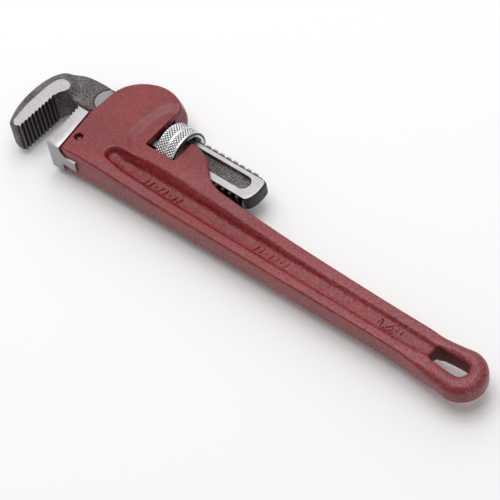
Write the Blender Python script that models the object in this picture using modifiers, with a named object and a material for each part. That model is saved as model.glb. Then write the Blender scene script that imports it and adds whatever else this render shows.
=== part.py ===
"""Straight pipe wrench, nominal 14 inch, lying on its side.

Every size below is in millimetres from one datum: the front lower corner of the
head, where the heel jaw meets the casting, on the wrench's middle plane.
+X runs down the handle to the hanging hole, +Y towards the hump of the head and
+Z is the normal of the wrench's side faces. The finished wrench is shifted so
that the origin is the bottom centre of its bounding box.
"""

import math

import bmesh
import bpy
from mathutils import Matrix, Vector

MM = 0.001

# Bounding box of the whole wrench, from the datum: hook back to handle end,
# toe of the hook jaw to top of the hump, and the nut's radius below the middle.
BOX_LOW = (-42.35, -2.9)
BOX_HIGH = (269.4, 64.7)

# Casting
HEAD_HALF = 10.0          # half thickness of the head
HANDLE_HALF = 6.9         # half thickness of the I-beam's flanges
WEB_HALF = 2.6            # half thickness of the I-beam's web
FRONT_SLOPE = -0.1135     # the head's front face leans back: dx per dy
HUMP_CENTRE = (21.6, 40.8)
HUMP_RADIUS = 23.9
BULB_CENTRE = (255.8, 11.4)
BULB_RADIUS = 13.6
SLOT_X = (242.3, 255.0)   # centres of the hanging slot's round ends
SLOT_Y = 11.8
SLOT_RADIUS = 4.1
CHANNEL_START = (22.5, 13.4)
CHANNEL_RADIUS = 5.6

# Screw shank of the hook jaw, and the nut that runs on it
SHANK_Y = 39.4            # height of the shank's axis
SHANK_HALF = 4.5          # half thickness across the flats
ROOT_RADIUS = 9.1
CREST_RADIUS = 10.4
PLAIN_HALF_WIDTH = 8.0    # half width of the stretch with no thread
PITCH = 4.65
THREAD_X = (27.0, 100.0)
SHANK_END = 104.0
NUT_X = (42.0, 55.0)
NUT_RADIUS = 13.8
NUT_BORE = 10.8
WINDOW_X = (36.4, 55.9)
WINDOW_RADIUS = 14.25

# Jaws
TOOTH_PITCH = 2.5
TOOTH_DEPTH = 1.2
HEEL_TOP = 26.8           # length of the heel jaw across the mouth
HEEL_FACE = -8.7          # crest of its teeth at the front
HEEL_SLOPE = -0.08        # lean of its tooth line: dx per dy
TENON_HALF = 3.4
TENON_END = 9.8
HOOK_FACE = -27.5         # crest of the hook's teeth at the toe
HOOK_SLOPE = 0.035
PAD_BACK = -33.4          # back of the ground pad behind the hook's teeth
NECK_HALF = 5.2
BODY_HALF = 7.4           # half thickness of the hook's forged back

PIN_AT = (3.4, 11.4)
PIN_RADIUS = 2.0

# Spring assembly in the head, in front of the shank
SPRING_X = (11.5, 35.0)
SPRING_Y = (27.8, 28.6)
COIL_X = 20.0
COIL_Y = (23.2, 27.3)
COIL_RADIUS = 3.2
WIRE_RADIUS = 0.5

GAP = 0.3                 # between pieces that touch


def clear_scene():
    for item in list(bpy.data.objects):
        bpy.data.objects.remove(item, do_unlink=True)


def new_collection(name, hidden=False):
    collection = bpy.data.collections.new(name)
    bpy.context.scene.collection.children.link(collection)
    collection.hide_render = hidden
    return collection


def material(name, color, roughness, metallic):
    made = bpy.data.materials.new(name)
    made.use_nodes = True
    shader = made.node_tree.nodes["Principled BSDF"]
    shader.inputs["Base Color"].default_value = (*color, 1.0)
    shader.inputs["Roughness"].default_value = roughness
    shader.inputs["Metallic"].default_value = metallic
    made.diffuse_color = (*color, 1.0)
    return made


# ---- outlines, as lists of (x, y) ----

def arc(centre, radius, start, end, steps):
    """Points along an arc, angles in degrees."""
    points = []
    for i in range(steps + 1):
        angle = math.radians(start + (end - start) * i / steps)
        points.append((centre[0] + radius * math.cos(angle), centre[1] + radius * math.sin(angle)))
    return points


def rounded(corners, steps=5):
    """A closed outline of straight lines whose corners (x, y, radius) are filleted."""
    outline = []
    count = len(corners)
    for i, (x, y, radius) in enumerate(corners):
        here = Vector((x, y))
        back = (Vector(corners[i - 1][:2]) - here).normalized()
        ahead = (Vector(corners[(i + 1) % count][:2]) - here).normalized()
        half = back.angle(ahead) / 2
        if radius <= 0 or half > math.radians(89.5):
            outline.append((x, y))
            continue
        centre = here + (back + ahead).normalized() * radius / math.sin(half)
        first = here + back * radius / math.tan(half) - centre
        last = here + ahead * radius / math.tan(half) - centre
        turn = first.angle_signed(last)
        for k in range(steps + 1):
            spoke = Matrix.Rotation(-turn * k / steps, 2) @ first
            outline.append(tuple(centre + spoke))
    return outline


def smooth(points, steps=4):
    """A Catmull-Rom curve through the points, from the first to the last."""
    ends = [points[0], *points, points[-1]]
    path = []
    for a, b, c, d in zip(ends, ends[1:], ends[2:], ends[3:]):
        for k in range(steps):
            t = k / steps
            path.append(tuple(
                0.5 * (2 * q + (r - p) * t + (2 * p - 5 * q + 4 * r - s) * t * t
                       + (3 * q - p - 3 * r + s) * t ** 3)
                for p, q, r, s in zip(a, b, c, d)))
    path.append(points[-1])
    return path


def teeth(start, end, depth, count):
    """A sawtooth line from start to end whose valleys lie to the left of its direction."""
    along = Vector(end) - Vector(start)
    inward = Vector((-along.y, along.x)).normalized() * depth
    line = []
    for i in range(count):
        line.append(tuple(Vector(start) + along * (i / count)))
        line.append(tuple(Vector(start) + along * ((i + 0.72) / count) + inward))
    line.append(tuple(end))
    return line


# ---- solids; every one is made as a mesh in datum coordinates ----

def mesh_object(name, mesh, collection):
    obj = bpy.data.objects.new(name, mesh)
    collection.objects.link(obj)
    if collection.hide_render:
        obj.hide_render = True
        obj.display_type = "WIRE"
    return obj


def plate(name, outline, half, collection, edge=0.0):
    """A flat outline in XY, extruded to both sides of the middle plane, with rounded edges."""
    curve = bpy.data.curves.new(name, "CURVE")
    curve.dimensions = "2D"
    curve.fill_mode = "BOTH"
    spline = curve.splines.new("POLY")
    spline.points.add(len(outline) - 1)
    for point, (x, y) in zip(spline.points, outline):
        point.co = (x * MM, y * MM, 0.0, 1.0)
    spline.use_cyclic_u = True
    curve.extrude = (half - edge) * MM
    curve.bevel_depth = edge * MM
    curve.bevel_resolution = 1
    curve.offset = -edge * MM
    return meshed(bpy.data.objects.new(name, curve), name, collection)


def meshed(source, name, collection):
    """The curve object as a closed mesh object; the curve is removed."""
    bpy.context.scene.collection.objects.link(source)
    graph = bpy.context.evaluated_depsgraph_get()
    mesh = bpy.data.meshes.new_from_object(source.evaluated_get(graph))
    bpy.data.objects.remove(source, do_unlink=True)
    shape = bmesh.new()
    shape.from_mesh(mesh)
    bmesh.ops.remove_doubles(shape, verts=shape.verts, dist=0.002 * MM)
    bmesh.ops.recalc_face_normals(shape, faces=shape.faces)
    shape.to_mesh(mesh)
    shape.free()
    return mesh_object(name, mesh, collection)


def box(name, low, high, collection):
    shape = bmesh.new()
    bmesh.ops.create_cube(shape, size=1.0)
    for vert in shape.verts:
        for axis in range(3):
            vert.co[axis] = (low[axis] + (vert.co[axis] + 0.5) * (high[axis] - low[axis])) * MM
    return from_bmesh(name, shape, collection)


def cylinder(name, centre, radius, length, axis, collection, sides=48):
    """A cylinder about the given centre, along X, Y or Z."""
    shape = bmesh.new()
    bmesh.ops.create_cone(shape, cap_ends=True, segments=sides, radius1=radius * MM,
                          radius2=radius * MM, depth=length * MM)
    turn = {"X": Matrix.Rotation(math.pi / 2, 4, "Y"), "Y": Matrix.Rotation(math.pi / 2, 4, "X"),
            "Z": Matrix.Identity(4)}[axis]
    place = Matrix.Translation(Vector(centre) * MM)
    bmesh.ops.transform(shape, matrix=place @ turn, verts=shape.verts)
    return from_bmesh(name, shape, collection)


def from_bmesh(name, shape, collection):
    mesh = bpy.data.meshes.new(name)
    shape.to_mesh(mesh)
    shape.free()
    return mesh_object(name, mesh, collection)


def transformed(obj, matrix):
    obj.data.transform(matrix)
    if matrix.determinant() < 0:
        obj.data.flip_normals()
    return obj


def combine(obj, other, operation):
    step = obj.modifiers.new(other.name, "BOOLEAN")
    step.operation = operation
    step.object = other
    step.solver = "EXACT"


def cut(obj, *cutters):
    for cutter in cutters:
        combine(obj, cutter, "DIFFERENCE")


def join(obj, *others):
    for other in others:
        combine(obj, other, "UNION")


def finish(obj, origin, parent, look, angle=30):
    """Gives a piece its origin, parent and material, and shades it."""
    graph = bpy.context.evaluated_depsgraph_get()
    mesh = bpy.data.meshes.new_from_object(obj.evaluated_get(graph))
    obj.modifiers.clear()
    obj.data = mesh
    mesh.name = obj.name
    place = Vector(origin) * MM
    mesh.transform(Matrix.Translation(-place))
    mesh.shade_smooth()
    mesh.set_sharp_from_angle(angle=math.radians(angle))
    mesh.materials.clear()
    mesh.materials.append(look)
    obj.parent = parent
    obj.location = place - parent_place(parent)
    return obj


def parent_place(parent):
    """Where a parent empty stands in datum coordinates."""
    return Vector(parent["at"]) * MM


def joint_empty(name, at, parent, collection):
    empty = bpy.data.objects.new(name, None)
    empty.empty_display_size = 10 * MM
    empty["at"] = at
    collection.objects.link(empty)
    if parent:
        empty.parent = parent
        empty.location = Vector(at) * MM - parent_place(parent)
    return empty


# ---- casting ----

def silhouette():
    """Side view of the casting, counter-clockwise from its front lower corner."""
    front_top = 28.0
    lower = [(0.0, -0.2), (12.0, 0.5), (30.0, 0.7), (69.0, 0.9), (124.0, 1.25), (202.0, 1.7),
             (226.0, 1.4)]
    bulb = arc(BULB_CENTRE, BULB_RADIUS, -104, 104, 18)
    upper = smooth([(238.0, 22.0), (205.0, 22.3), (150.0, 23.8), (115.0, 25.4), (98.0, 26.3),
                    (88.0, 27.2), (81.0, 29.7), (75.5, 34.2), (70.0, 38.6), (64.0, 41.6),
                    (58.5, 42.6), (55.5, 42.6)], 3)
    hump = arc(HUMP_CENTRE, HUMP_RADIUS, 38, 172, 20)
    return lower + bulb + upper + hump + [(front_top * FRONT_SLOPE, front_top)]


def thickness_prism(cutters):
    """The casting thins from the head to the handle along slanted lines."""
    slant = Vector((2.4, 1.0, 0.0)).normalized()
    across = Vector((slant.y, -slant.x, 0.0))
    profile = rounded([(-80, -HEAD_HALF, 0), (3.0, -HEAD_HALF, 40), (19.0, -HANDLE_HALF, 40),
                       (120, -HANDLE_HALF, 0), (120, HANDLE_HALF, 0), (19.0, HANDLE_HALF, 40),
                       (3.0, HEAD_HALF, 40), (-80, HEAD_HALF, 0)], 4)
    prism = plate("thickness", profile, 400.0, cutters)
    frame = Matrix((across, Vector((0, 0, 1)), across.cross(Vector((0, 0, 1))))).transposed()
    return transformed(prism, frame.to_4x4())


def channel(name, side, cutters):
    """One of the two pockets that leave the I-beam's web."""
    start = arc(CHANNEL_START, CHANNEL_RADIUS, 110, 260, 8)
    low = [(100.0, 7.6), (160.0, 6.9), (238.0, 7.2)]
    end = arc((SLOT_X[0], SLOT_Y), SLOT_RADIUS, -80, 80, 6)
    high = [(238.0, 16.2), (160.0, 17.0), (120.0, 18.2), (90.0, 19.2), (34.0, 20.0)]
    pocket = plate(name, start + low + end + high, 6.0, cutters)
    return transformed(pocket, Matrix.Translation((0, 0, side * (WEB_HALF + 6.0) * MM)))


def heel_profile(name, clearance, collection, teeth_side):
    """The heel jaw's cross-section, run along Y and leaned like the head's face.

    The block meets its tenon in a fillet on the near side and squarely on the far side.
    """
    fillet = 6.0 - clearance
    half = TENON_HALF + clearance
    far = -TENON_HALF - 2 * clearance
    shoulder = clearance - GAP
    top = HEAD_HALF + (5.0 if clearance > GAP else 0.0)
    profile = [(teeth_side, -top), (shoulder, -top), (shoulder, far)]
    profile += [(TENON_END + clearance, far), (TENON_END + clearance, half)]
    profile += arc((shoulder + fillet, half + fillet), fillet, 270, 180, 4)
    profile += [(shoulder, top), (teeth_side, top)]
    solid = plate(name, profile, 20.0, collection)
    upright = Matrix.Rotation(math.pi / 2, 4, "X")
    lean = Matrix.Identity(4)
    lean[0][1] = FRONT_SLOPE
    rise = Matrix.Translation((0, 10.0 * MM, 0))
    return transformed(solid, lean @ rise @ upright)


def make_handle(parts, cutters):
    casting = plate("handle", silhouette(), 30.0, parts)
    combine(casting, thickness_prism(cutters), "INTERSECT")
    cut(casting, channel("channel_near", 1, cutters), channel("channel_far", -1, cutters))

    slot = arc((SLOT_X[1], SLOT_Y), SLOT_RADIUS, -90, 90, 10)
    slot += arc((SLOT_X[0], SLOT_Y), SLOT_RADIUS, 90, 270, 10)
    cut(casting, plate("hanging_slot", slot, 12.0, cutters))

    middle = sum(WINDOW_X) / 2
    width = WINDOW_X[1] - WINDOW_X[0]
    cut(casting,
        cylinder("nut_bore", (middle, SHANK_Y, 0), WINDOW_RADIUS, width, "X", cutters, 64),
        box("nut_window", (WINDOW_X[0], SHANK_Y, -20), (WINDOW_X[1], 90, 20), cutters),
        box("shank_tunnel", (-12, 26.9, -5.7), (WINDOW_X[0] + 1, 50.2, 5.7), cutters),
        box("spring_seat", (10.6, 25.9, -5.0), (WINDOW_X[0] + 1, 30, 5.0), cutters),
        cylinder("coil_pocket", (COIL_X, 24.3, 0), 4.4, 6.2, "Y", cutters, 24),
        box("thumb_fork", (WINDOW_X[1] - 1, 28.6, -5.2), (120, 90, 5.2), cutters))

    socket = heel_profile("heel_socket", GAP + 0.001, cutters, -20.0)
    limit = box("socket_limit", (-30, -8, -30), (20, HEEL_TOP + GAP, 30), cutters)
    combine(socket, limit, "INTERSECT")
    cut(casting, socket)
    cut(casting, cylinder("pin_hole", (*PIN_AT, 0), PIN_RADIUS + GAP, 30, "Z", cutters, 24))
    return casting


# ---- jaws ----

def make_heel_jaw(parts, cutters):
    jaw = heel_profile("heel_jaw", 0.0, parts, -16.0)
    start = (HEEL_FACE + HEEL_SLOPE * HEEL_TOP, HEEL_TOP)
    end = (HEEL_FACE, -0.8)
    count = round(HEEL_TOP / TOOTH_PITCH)
    outline = teeth(start, end, TOOTH_DEPTH, count)
    outline += [(20.0, -0.8), (20.0, HEEL_TOP)]
    limit = plate("heel_outline", outline, 20.0, cutters)
    transformed(limit, Matrix.Translation((-GAP * MM, 0, 0)))
    combine(jaw, limit, "INTERSECT")
    cut(jaw, cylinder("heel_pin_hole", (*PIN_AT, 0), PIN_RADIUS + GAP, 30, "Z", cutters, 24))
    return jaw


def make_pin(parts):
    return cylinder("heel_jaw_pin", (*PIN_AT, 0), PIN_RADIUS, 2 * HEAD_HALF - 1.2, "Z", parts, 24)


def hook_back():
    """The hook's outer curve, from its toe round to the shank's rear edge."""
    return smooth([(-36.6, -1.4), (-39.9, 6.0), (-41.8, 14.0), (-42.35, 22.0), (-41.2, 30.5),
                   (-38.0, 38.5), (-32.0, 44.6), (-23.5, 48.2), (-13.0, 49.2), (-3.0, 48.4),
                   (4.0, SHANK_Y + PLAIN_HALF_WIDTH)], 4)


def make_hook_jaw(parts, cutters):
    mouth_top = 24.6
    crest_top = (HOOK_FACE + HOOK_SLOPE * mouth_top, mouth_top)
    count = round(mouth_top / TOOTH_PITCH)
    tooth_line = teeth((HOOK_FACE, -1.4), crest_top, TOOTH_DEPTH, count)

    pad_outline = tooth_line + arc((-29.9, 31.6), 3.4, 10, 175, 8)
    pad_outline += [(PAD_BACK, 3.0)] + arc((PAD_BACK + 3.6, 0.8), 3.6, 190, 290, 5)
    hook = plate("hook_jaw", pad_outline, HEAD_HALF, parts)

    neck_low = SHANK_Y - PLAIN_HALF_WIDTH - 0.6
    throat = arc((-21.4, 25.6), neck_low - 25.6, 180, 90, 6)
    toe = [(-29.5, -2.9), (-34.2, -2.8)]
    inner = [(-19.0, neck_low), (-2.0, neck_low), (4.0, SHANK_Y - PLAIN_HALF_WIDTH)]
    tooth_back = [(crest_top[0] - TOOTH_DEPTH - 0.4, mouth_top), (HOOK_FACE - 1.6, -1.4)]
    body_outline = list(reversed(hook_back())) + [toe[1], toe[0]] + list(reversed(tooth_back))
    body_outline += throat + inner
    body = plate("hook_body", body_outline, NECK_HALF, cutters)

    heavy_outline = list(reversed(hook_back()[:-9])) + [toe[1], toe[0]] + list(reversed(tooth_back))
    heavy_outline += throat + [(-19.0, neck_low), (-18.4, 40.0)]
    heavy = plate("hook_heavy", heavy_outline, BODY_HALF, cutters)

    plain = PLAIN_HALF_WIDTH
    shank_outline = rounded([(-12.0, SHANK_Y - plain, 0), (SHANK_END - 3.0, SHANK_Y - plain, 2.5),
                             (SHANK_END, SHANK_Y - 1.5, 6.0), (SHANK_END - 0.6, SHANK_Y + plain + 0.4, 2.5),
                             (-12.0, SHANK_Y + plain, 0)])
    shank = plate("shank_plain", shank_outline, SHANK_HALF, cutters)

    length = THREAD_X[1] - THREAD_X[0]
    core = cylinder("thread_core", (sum(THREAD_X) / 2, SHANK_Y, 0), ROOT_RADIUS, length, "X", cutters)
    flats = box("thread_flats", (THREAD_X[0] - 5, 20, -SHANK_HALF), (THREAD_X[1] + 5, 60, SHANK_HALF), cutters)
    ridge = cylinder("thread_ridge", (0, 0, 0), CREST_RADIUS, 1.9, "X", cutters)
    tilt = math.atan(PITCH / 2 / (2 * CREST_RADIUS))
    transformed(ridge, Matrix.Rotation(-tilt, 4, "Z"))
    transformed(ridge, Matrix.Translation(Vector((THREAD_X[0] + 1.2, SHANK_Y, 0)) * MM))
    row = ridge.modifiers.new("row", "ARRAY")
    row.count = int(length / PITCH)
    row.use_relative_offset = False
    row.use_constant_offset = True
    row.constant_offset_displace = (PITCH * MM, 0, 0)
    row.use_merge_vertices = False
    join(ridge, core)
    combine(ridge, flats, "INTERSECT")

    join(hook, heavy, body, shank, ridge)

    groove = arc((92.8, SHANK_Y + 0.7), 4.1, -90, 90, 8) + arc((12.0, SHANK_Y + 0.7), 4.1, 90, 270, 8)
    for side in (1, -1):
        recess = plate(f"recess_{side}", groove, 3.0, cutters)
        transformed(recess, Matrix.Translation((0, 0, side * (1.9 + 3.0) * MM)))
        cut(hook, recess)
    return hook


# ---- nut and springs ----

def make_nut(parts):
    """Turned ring: its section is spun about the shank's axis."""
    chamfer, inner = 0.7, 0.5
    half = (NUT_X[1] - NUT_X[0]) / 2
    section = [(-half + chamfer, NUT_RADIUS), (half - chamfer, NUT_RADIUS), (half, NUT_RADIUS - chamfer),
               (half, NUT_BORE + inner), (half - inner, NUT_BORE), (-half + inner, NUT_BORE),
               (-half, NUT_BORE + inner), (-half, NUT_RADIUS - chamfer)]
    shape = bmesh.new()
    verts = [shape.verts.new((x * MM, r * MM, 0)) for x, r in section]
    for i, vert in enumerate(verts):
        shape.edges.new((vert, verts[(i + 1) % len(verts)]))
    nut = from_bmesh("adjusting_nut", shape, parts)
    spin = nut.modifiers.new("turn", "SCREW")
    spin.axis = "X"
    spin.steps = 56
    spin.render_steps = 56
    spin.use_merge_vertices = True
    spin.merge_threshold = 0.00001
    spin.use_normal_calculate = True
    nut.location = (sum(NUT_X) / 2 * MM, SHANK_Y * MM, 0)
    return nut


def make_flat_spring(parts, cutters):
    strip = box("flat_spring", (SPRING_X[0], SPRING_Y[0], -4.2), (SPRING_X[1], SPRING_Y[1], 4.2), parts)
    bevel = strip.modifiers.new("corners", "BEVEL")
    bevel.width = 0.2 * MM
    bevel.segments = 1
    cut(strip, cylinder("rivet_hole", (COIL_X, SPRING_Y[0], 0), 1.3, 6, "Y", cutters, 20))
    return strip


def make_rivet(parts, cutters):
    rivet = cylinder("spring_rivet", (COIL_X, (26.4 + SPRING_Y[1]) / 2, 0), 1.0,
                     SPRING_Y[1] - 26.4, "Y", parts, 20)
    join(rivet, cylinder("rivet_head", (COIL_X, 26.9, 0), 1.9, 1.2, "Y", cutters, 20))
    return rivet


def make_coil_spring(parts):
    turns, per_turn = 3, 18
    low, high = COIL_Y[0] + WIRE_RADIUS, COIL_Y[1] - WIRE_RADIUS
    curve = bpy.data.curves.new("coil_spring", "CURVE")
    curve.dimensions = "3D"
    spline = curve.splines.new("POLY")
    count = turns * per_turn + 1
    spline.points.add(count - 1)
    for i, point in enumerate(spline.points):
        angle = 2 * math.pi * i / per_turn
        along = low + (high - low) * i / (count - 1)
        place = Vector((COIL_X + COIL_RADIUS * math.cos(angle), along, COIL_RADIUS * math.sin(angle)))
        point.co = (*(place * MM), 1.0)
    curve.bevel_depth = WIRE_RADIUS * MM
    curve.bevel_resolution = 2
    curve.use_fill_caps = True
    return meshed(bpy.data.objects.new("coil_spring", curve), "coil_spring", parts)


def main():
    clear_scene()
    parts = new_collection("pipe_wrench")
    cutters = new_collection("cutters", hidden=True)

    enamel = material("red_enamel", (0.29, 0.055, 0.06), 0.38, 0.0)
    forged = material("forged_steel", (0.10, 0.085, 0.085), 0.55, 0.9)
    ground = material("ground_steel", (0.52, 0.51, 0.52), 0.35, 1.0)
    plated = material("plated_steel", (0.72, 0.73, 0.73), 0.28, 1.0)
    spring = material("spring_steel", (0.20, 0.21, 0.23), 0.35, 1.0)

    bpy.context.view_layer.update()
    middle_x = (BOX_LOW[0] + BOX_HIGH[0]) / 2
    middle_y = (BOX_LOW[1] + BOX_HIGH[1]) / 2
    nut_middle = (sum(NUT_X) / 2, SHANK_Y, 0.0)

    casting = make_handle(parts, cutters)
    heel = make_heel_jaw(parts, cutters)
    pin = make_pin(parts)
    hook = make_hook_jaw(parts, cutters)
    nut = make_nut(parts)
    strip = make_flat_spring(parts, cutters)
    coil = make_coil_spring(parts)
    rivet = make_rivet(parts, cutters)

    frame = joint_empty("wrench", (0.0, 0.0, 0.0), None, parts)
    rock = joint_empty("jaw_rock", nut_middle, frame, parts)
    bpy.context.view_layer.update()

    finish(casting, (0, 0, 0), frame, enamel)
    finish(heel, (0, 0, 0), frame, ground)
    finish(pin, (*PIN_AT, 0), frame, forged)
    finish(hook, (0, SHANK_Y, 0), rock, forged)
    finish(strip, nut_middle, rock, spring)
    finish(coil, nut_middle, rock, spring)
    finish(rivet, nut_middle, rock, spring)

    nut.data.shade_smooth()
    nut.data.materials.append(plated)
    nut.parent = rock
    nut.location = (0, 0, 0)

    frame.location = Vector((-middle_x, -middle_y, NUT_RADIUS)) * MM


main()
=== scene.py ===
import math

import bmesh
import bpy
import numpy as np
from mathutils import Matrix, Vector


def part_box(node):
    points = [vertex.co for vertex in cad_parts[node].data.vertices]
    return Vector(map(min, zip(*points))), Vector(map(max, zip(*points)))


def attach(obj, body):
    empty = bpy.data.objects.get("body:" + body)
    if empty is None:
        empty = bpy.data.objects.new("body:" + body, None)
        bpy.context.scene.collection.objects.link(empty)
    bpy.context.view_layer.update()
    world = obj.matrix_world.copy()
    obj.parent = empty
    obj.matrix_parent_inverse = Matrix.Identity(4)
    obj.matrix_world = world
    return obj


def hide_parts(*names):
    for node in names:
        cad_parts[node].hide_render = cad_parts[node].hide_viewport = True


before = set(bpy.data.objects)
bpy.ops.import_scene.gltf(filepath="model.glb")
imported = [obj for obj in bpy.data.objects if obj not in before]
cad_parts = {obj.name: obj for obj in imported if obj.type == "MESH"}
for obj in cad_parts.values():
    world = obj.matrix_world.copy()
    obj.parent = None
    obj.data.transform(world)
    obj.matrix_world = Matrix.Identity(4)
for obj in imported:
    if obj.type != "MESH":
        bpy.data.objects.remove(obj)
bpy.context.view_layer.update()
mm = 0.001

# sizes are in millimetres from the head's front lower corner, on the wrench's middle plane
pinSpot = (3.4, 11.4)           # where the heel jaw's pin goes through
pinLow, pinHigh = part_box("heel_jaw_pin")
datum = (pinLow + pinHigh) / 2 - Vector((*pinSpot, 0.0)) * mm
print("frame loaded, datum at", tuple(round(v, 5) for v in datum))


def arcPath(cx, cy, radius, start, end, steps):
    turns = [math.radians(start + (end - start) * i / steps) for i in range(steps + 1)]
    return [(cx + radius * math.cos(t), cy + radius * math.sin(t)) for t in turns]


def smoothPath(points, steps=6):  # passes through every point
    ends = [points[0], *points, points[-1]]
    path = []
    for a, b, c, d in zip(ends, ends[1:], ends[2:], ends[3:]):
        for k in range(steps):
            t = k / steps
            path.append(tuple(0.5 * (2 * q + (r - p) * t + (2 * p - 5 * q + 4 * r - s) * t * t
                                     + (3 * q - p - 3 * r + s) * t ** 3)
                              for p, q, r, s in zip(a, b, c, d)))
    path.append(points[-1])
    return path


def lineDistance(px, py, path):  # plain distance to an open line
    best = np.full(px.shape, 1e9)
    for (x1, y1), (x2, y2) in zip(path, path[1:]):
        dx, dy = x2 - x1, y2 - y1
        size = dx * dx + dy * dy
        if size < 1e-12:
            continue
        t = np.clip(((px - x1) * dx + (py - y1) * dy) / size, 0, 1)
        best = np.minimum(best, (px - x1 - t * dx) ** 2 + (py - y1 - t * dy) ** 2)
    return np.sqrt(best)


def areaDistance(px, py, outline):  # distance to a closed outline, negative inside it
    inside = np.zeros(px.shape, bool)
    ring = list(outline) + [outline[0]]
    for (x1, y1), (x2, y2) in zip(ring, ring[1:]):
        if y1 != y2:
            crosses = (y1 > py) != (y2 > py)
            inside ^= crosses & (px < (x2 - x1) * (py - y1) / (y2 - y1) + x1)
    return np.where(inside, -1, 1) * lineDistance(px, py, ring)


def ramp(value, low, high):  # eases from 0 at low to 1 at high
    t = np.clip((value - low) / (high - low), 0, 1)
    return t * t * (3 - 2 * t)


def softMin(a, b, width):
    t = np.clip(0.5 + 0.5 * (b - a) / width, 0, 1)
    return b + (a - b) * t - width * t * (1 - t)


def roundMax(a, b, radius):  # where two surfaces meet on an outside edge of this radius
    corner = np.hypot(np.maximum(a + radius, 0), np.maximum(b + radius, 0))
    return np.minimum(np.maximum(a, b), -radius) + corner


def sampleField(field, at):  # straight interpolation between the grid's points
    base = np.clip(np.floor(at).astype(int), 0, np.array(field.shape) - 2)
    part = at - base
    total = 0
    for i in (0, 1):
        for j in (0, 1):
            for k in (0, 1):
                share = np.abs(1 - i - part[:, 0]) * np.abs(1 - j - part[:, 1])
                share = share * np.abs(1 - k - part[:, 2])
                total = total + share * field[base[:, 0] + i, base[:, 1] + j, base[:, 2] + k]
    return total


def skinOf(field, low, step, rounds=2, pull=0.8):  # quads over the surface where field is 0
    inside = field < 0
    cells = tuple(n - 1 for n in field.shape)

    def corner(values, shift):
        return values[tuple(slice(s, s + n) for s, n in zip(shift, cells))]

    shifts = [(i, j, k) for i in (0, 1) for j in (0, 1) for k in (0, 1)]
    count = sum(corner(inside, s).astype(np.int8) for s in shifts)
    active = (count > 0) & (count < 8)
    number = np.full(cells, -1)
    number[active] = np.arange(active.sum())
    where = np.argwhere(active)
    total = np.zeros((len(where), 3))
    hits = np.zeros(len(where))
    for axis in range(3):
        for a in (0, 1):
            for b in (0, 1):
                first = [a, b]
                first.insert(axis, 0)
                last = list(first)
                last[axis] = 1
                f0 = corner(field, first)[active]
                f1 = corner(field, last)[active]
                crossed = (f0 < 0) != (f1 < 0)
                along = np.where(crossed, f0 / np.where(crossed, f0 - f1, 1), 0)
                spot = np.array(first, float)[None, :].repeat(len(where), 0)
                spot[:, axis] = along
                total += spot * crossed[:, None]
                hits += crossed
    points = where + total / hits[:, None]
    slopes = np.gradient(field)
    for _ in range(rounds):  # settle each point on the surface
        value = sampleField(field, points)
        slope = np.stack([sampleField(s, points) for s in slopes], 1)
        size = np.maximum((slope ** 2).sum(1), 1e-6)
        points -= np.clip(value / size, -0.5, 0.5)[:, None] * slope * pull
    faces = []
    for axis in range(3):
        b, c = (axis + 1) % 3, (axis + 2) % 3
        here = inside[tuple(slice(0, -1) if d == axis else slice(1, -1) for d in range(3))]
        there = inside[tuple(slice(1, None) if d == axis else slice(1, -1) for d in range(3))]
        for outward in (True, False):
            edges = np.argwhere((here & ~there) if outward else (~here & there))
            ring = []
            for sb, sc in ((0, 0), (1, 0), (1, 1), (0, 1)):
                cell = edges.copy()
                cell[:, b] += sb
                cell[:, c] += sc
                ring.append(number[cell[:, 0], cell[:, 1], cell[:, 2]])
            faces.append(np.stack(ring if outward else ring[::-1], 1))
    return points * step + np.array(low), np.concatenate(faces)


def meshFrom(name, points, faces):  # points in millimetres from the datum
    mesh = bpy.data.meshes.new(name)
    points = np.asarray(points, float) * mm + np.array(datum)
    mesh.from_pydata(points.tolist(), [], [list(map(int, f)) for f in faces])
    mesh.validate()
    mesh.update()
    piece = bpy.data.objects.new(name, mesh)
    bpy.context.scene.collection.objects.link(piece)
    return piece


def gridOf(low, high, step):
    axes = [np.arange(a, b + step, step) for a, b in zip(low, high)]
    flat = np.meshgrid(axes[0], axes[1], indexing="ij")
    return axes, flat[0], flat[1]


def shade(piece, look, angle=None):
    piece.data.materials.clear()
    piece.data.materials.append(look)
    piece.data.shade_smooth()
    if angle is not None:
        piece.data.set_sharp_from_angle(angle=math.radians(angle))
    return piece


def settle(piece):  # its modifiers become plain mesh
    graph = bpy.context.evaluated_depsgraph_get()
    mesh = bpy.data.meshes.new_from_object(piece.evaluated_get(graph))
    piece.modifiers.clear()
    piece.data = mesh
    mesh.name = piece.name
    return piece


def carve(piece, other, operation):
    step = piece.modifiers.new(other.name, "BOOLEAN")
    step.operation = operation
    step.object = other
    step.solver = "MANIFOLD"
    settle(piece)
    bpy.data.objects.remove(other, do_unlink=True)


# an XY outline run along Z; draft widens its high end
def prism(name, outline, low, high, draft):
    ring = np.array(outline, float)
    count = len(ring)
    back = ring - np.roll(ring, 1, 0)
    ahead = np.roll(ring, -1, 0) - ring
    normal = np.stack([back[:, 1] + ahead[:, 1], -back[:, 0] - ahead[:, 0]], 1)
    wide = ring + draft * normal / np.linalg.norm(normal, axis=1)[:, None]
    points = [(*p, low) for p in ring] + [(*p, high) for p in wide]
    faces = [(i, (i + 1) % count, count + (i + 1) % count, count + i) for i in range(count)]
    faces += [tuple(range(count))[::-1], tuple(range(count, 2 * count))]
    return meshFrom(name, points, faces)


def addNode(tree, kind, inputs=None, **settings):
    made = tree.nodes.new(kind)
    for name, value in settings.items():
        setattr(made, name, value)
    for name, value in (inputs or {}).items():
        socket = made.inputs[name]
        if isinstance(value, bpy.types.NodeSocket):
            tree.links.new(value, socket)
        else:
            socket.default_value = value
    return made


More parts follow.
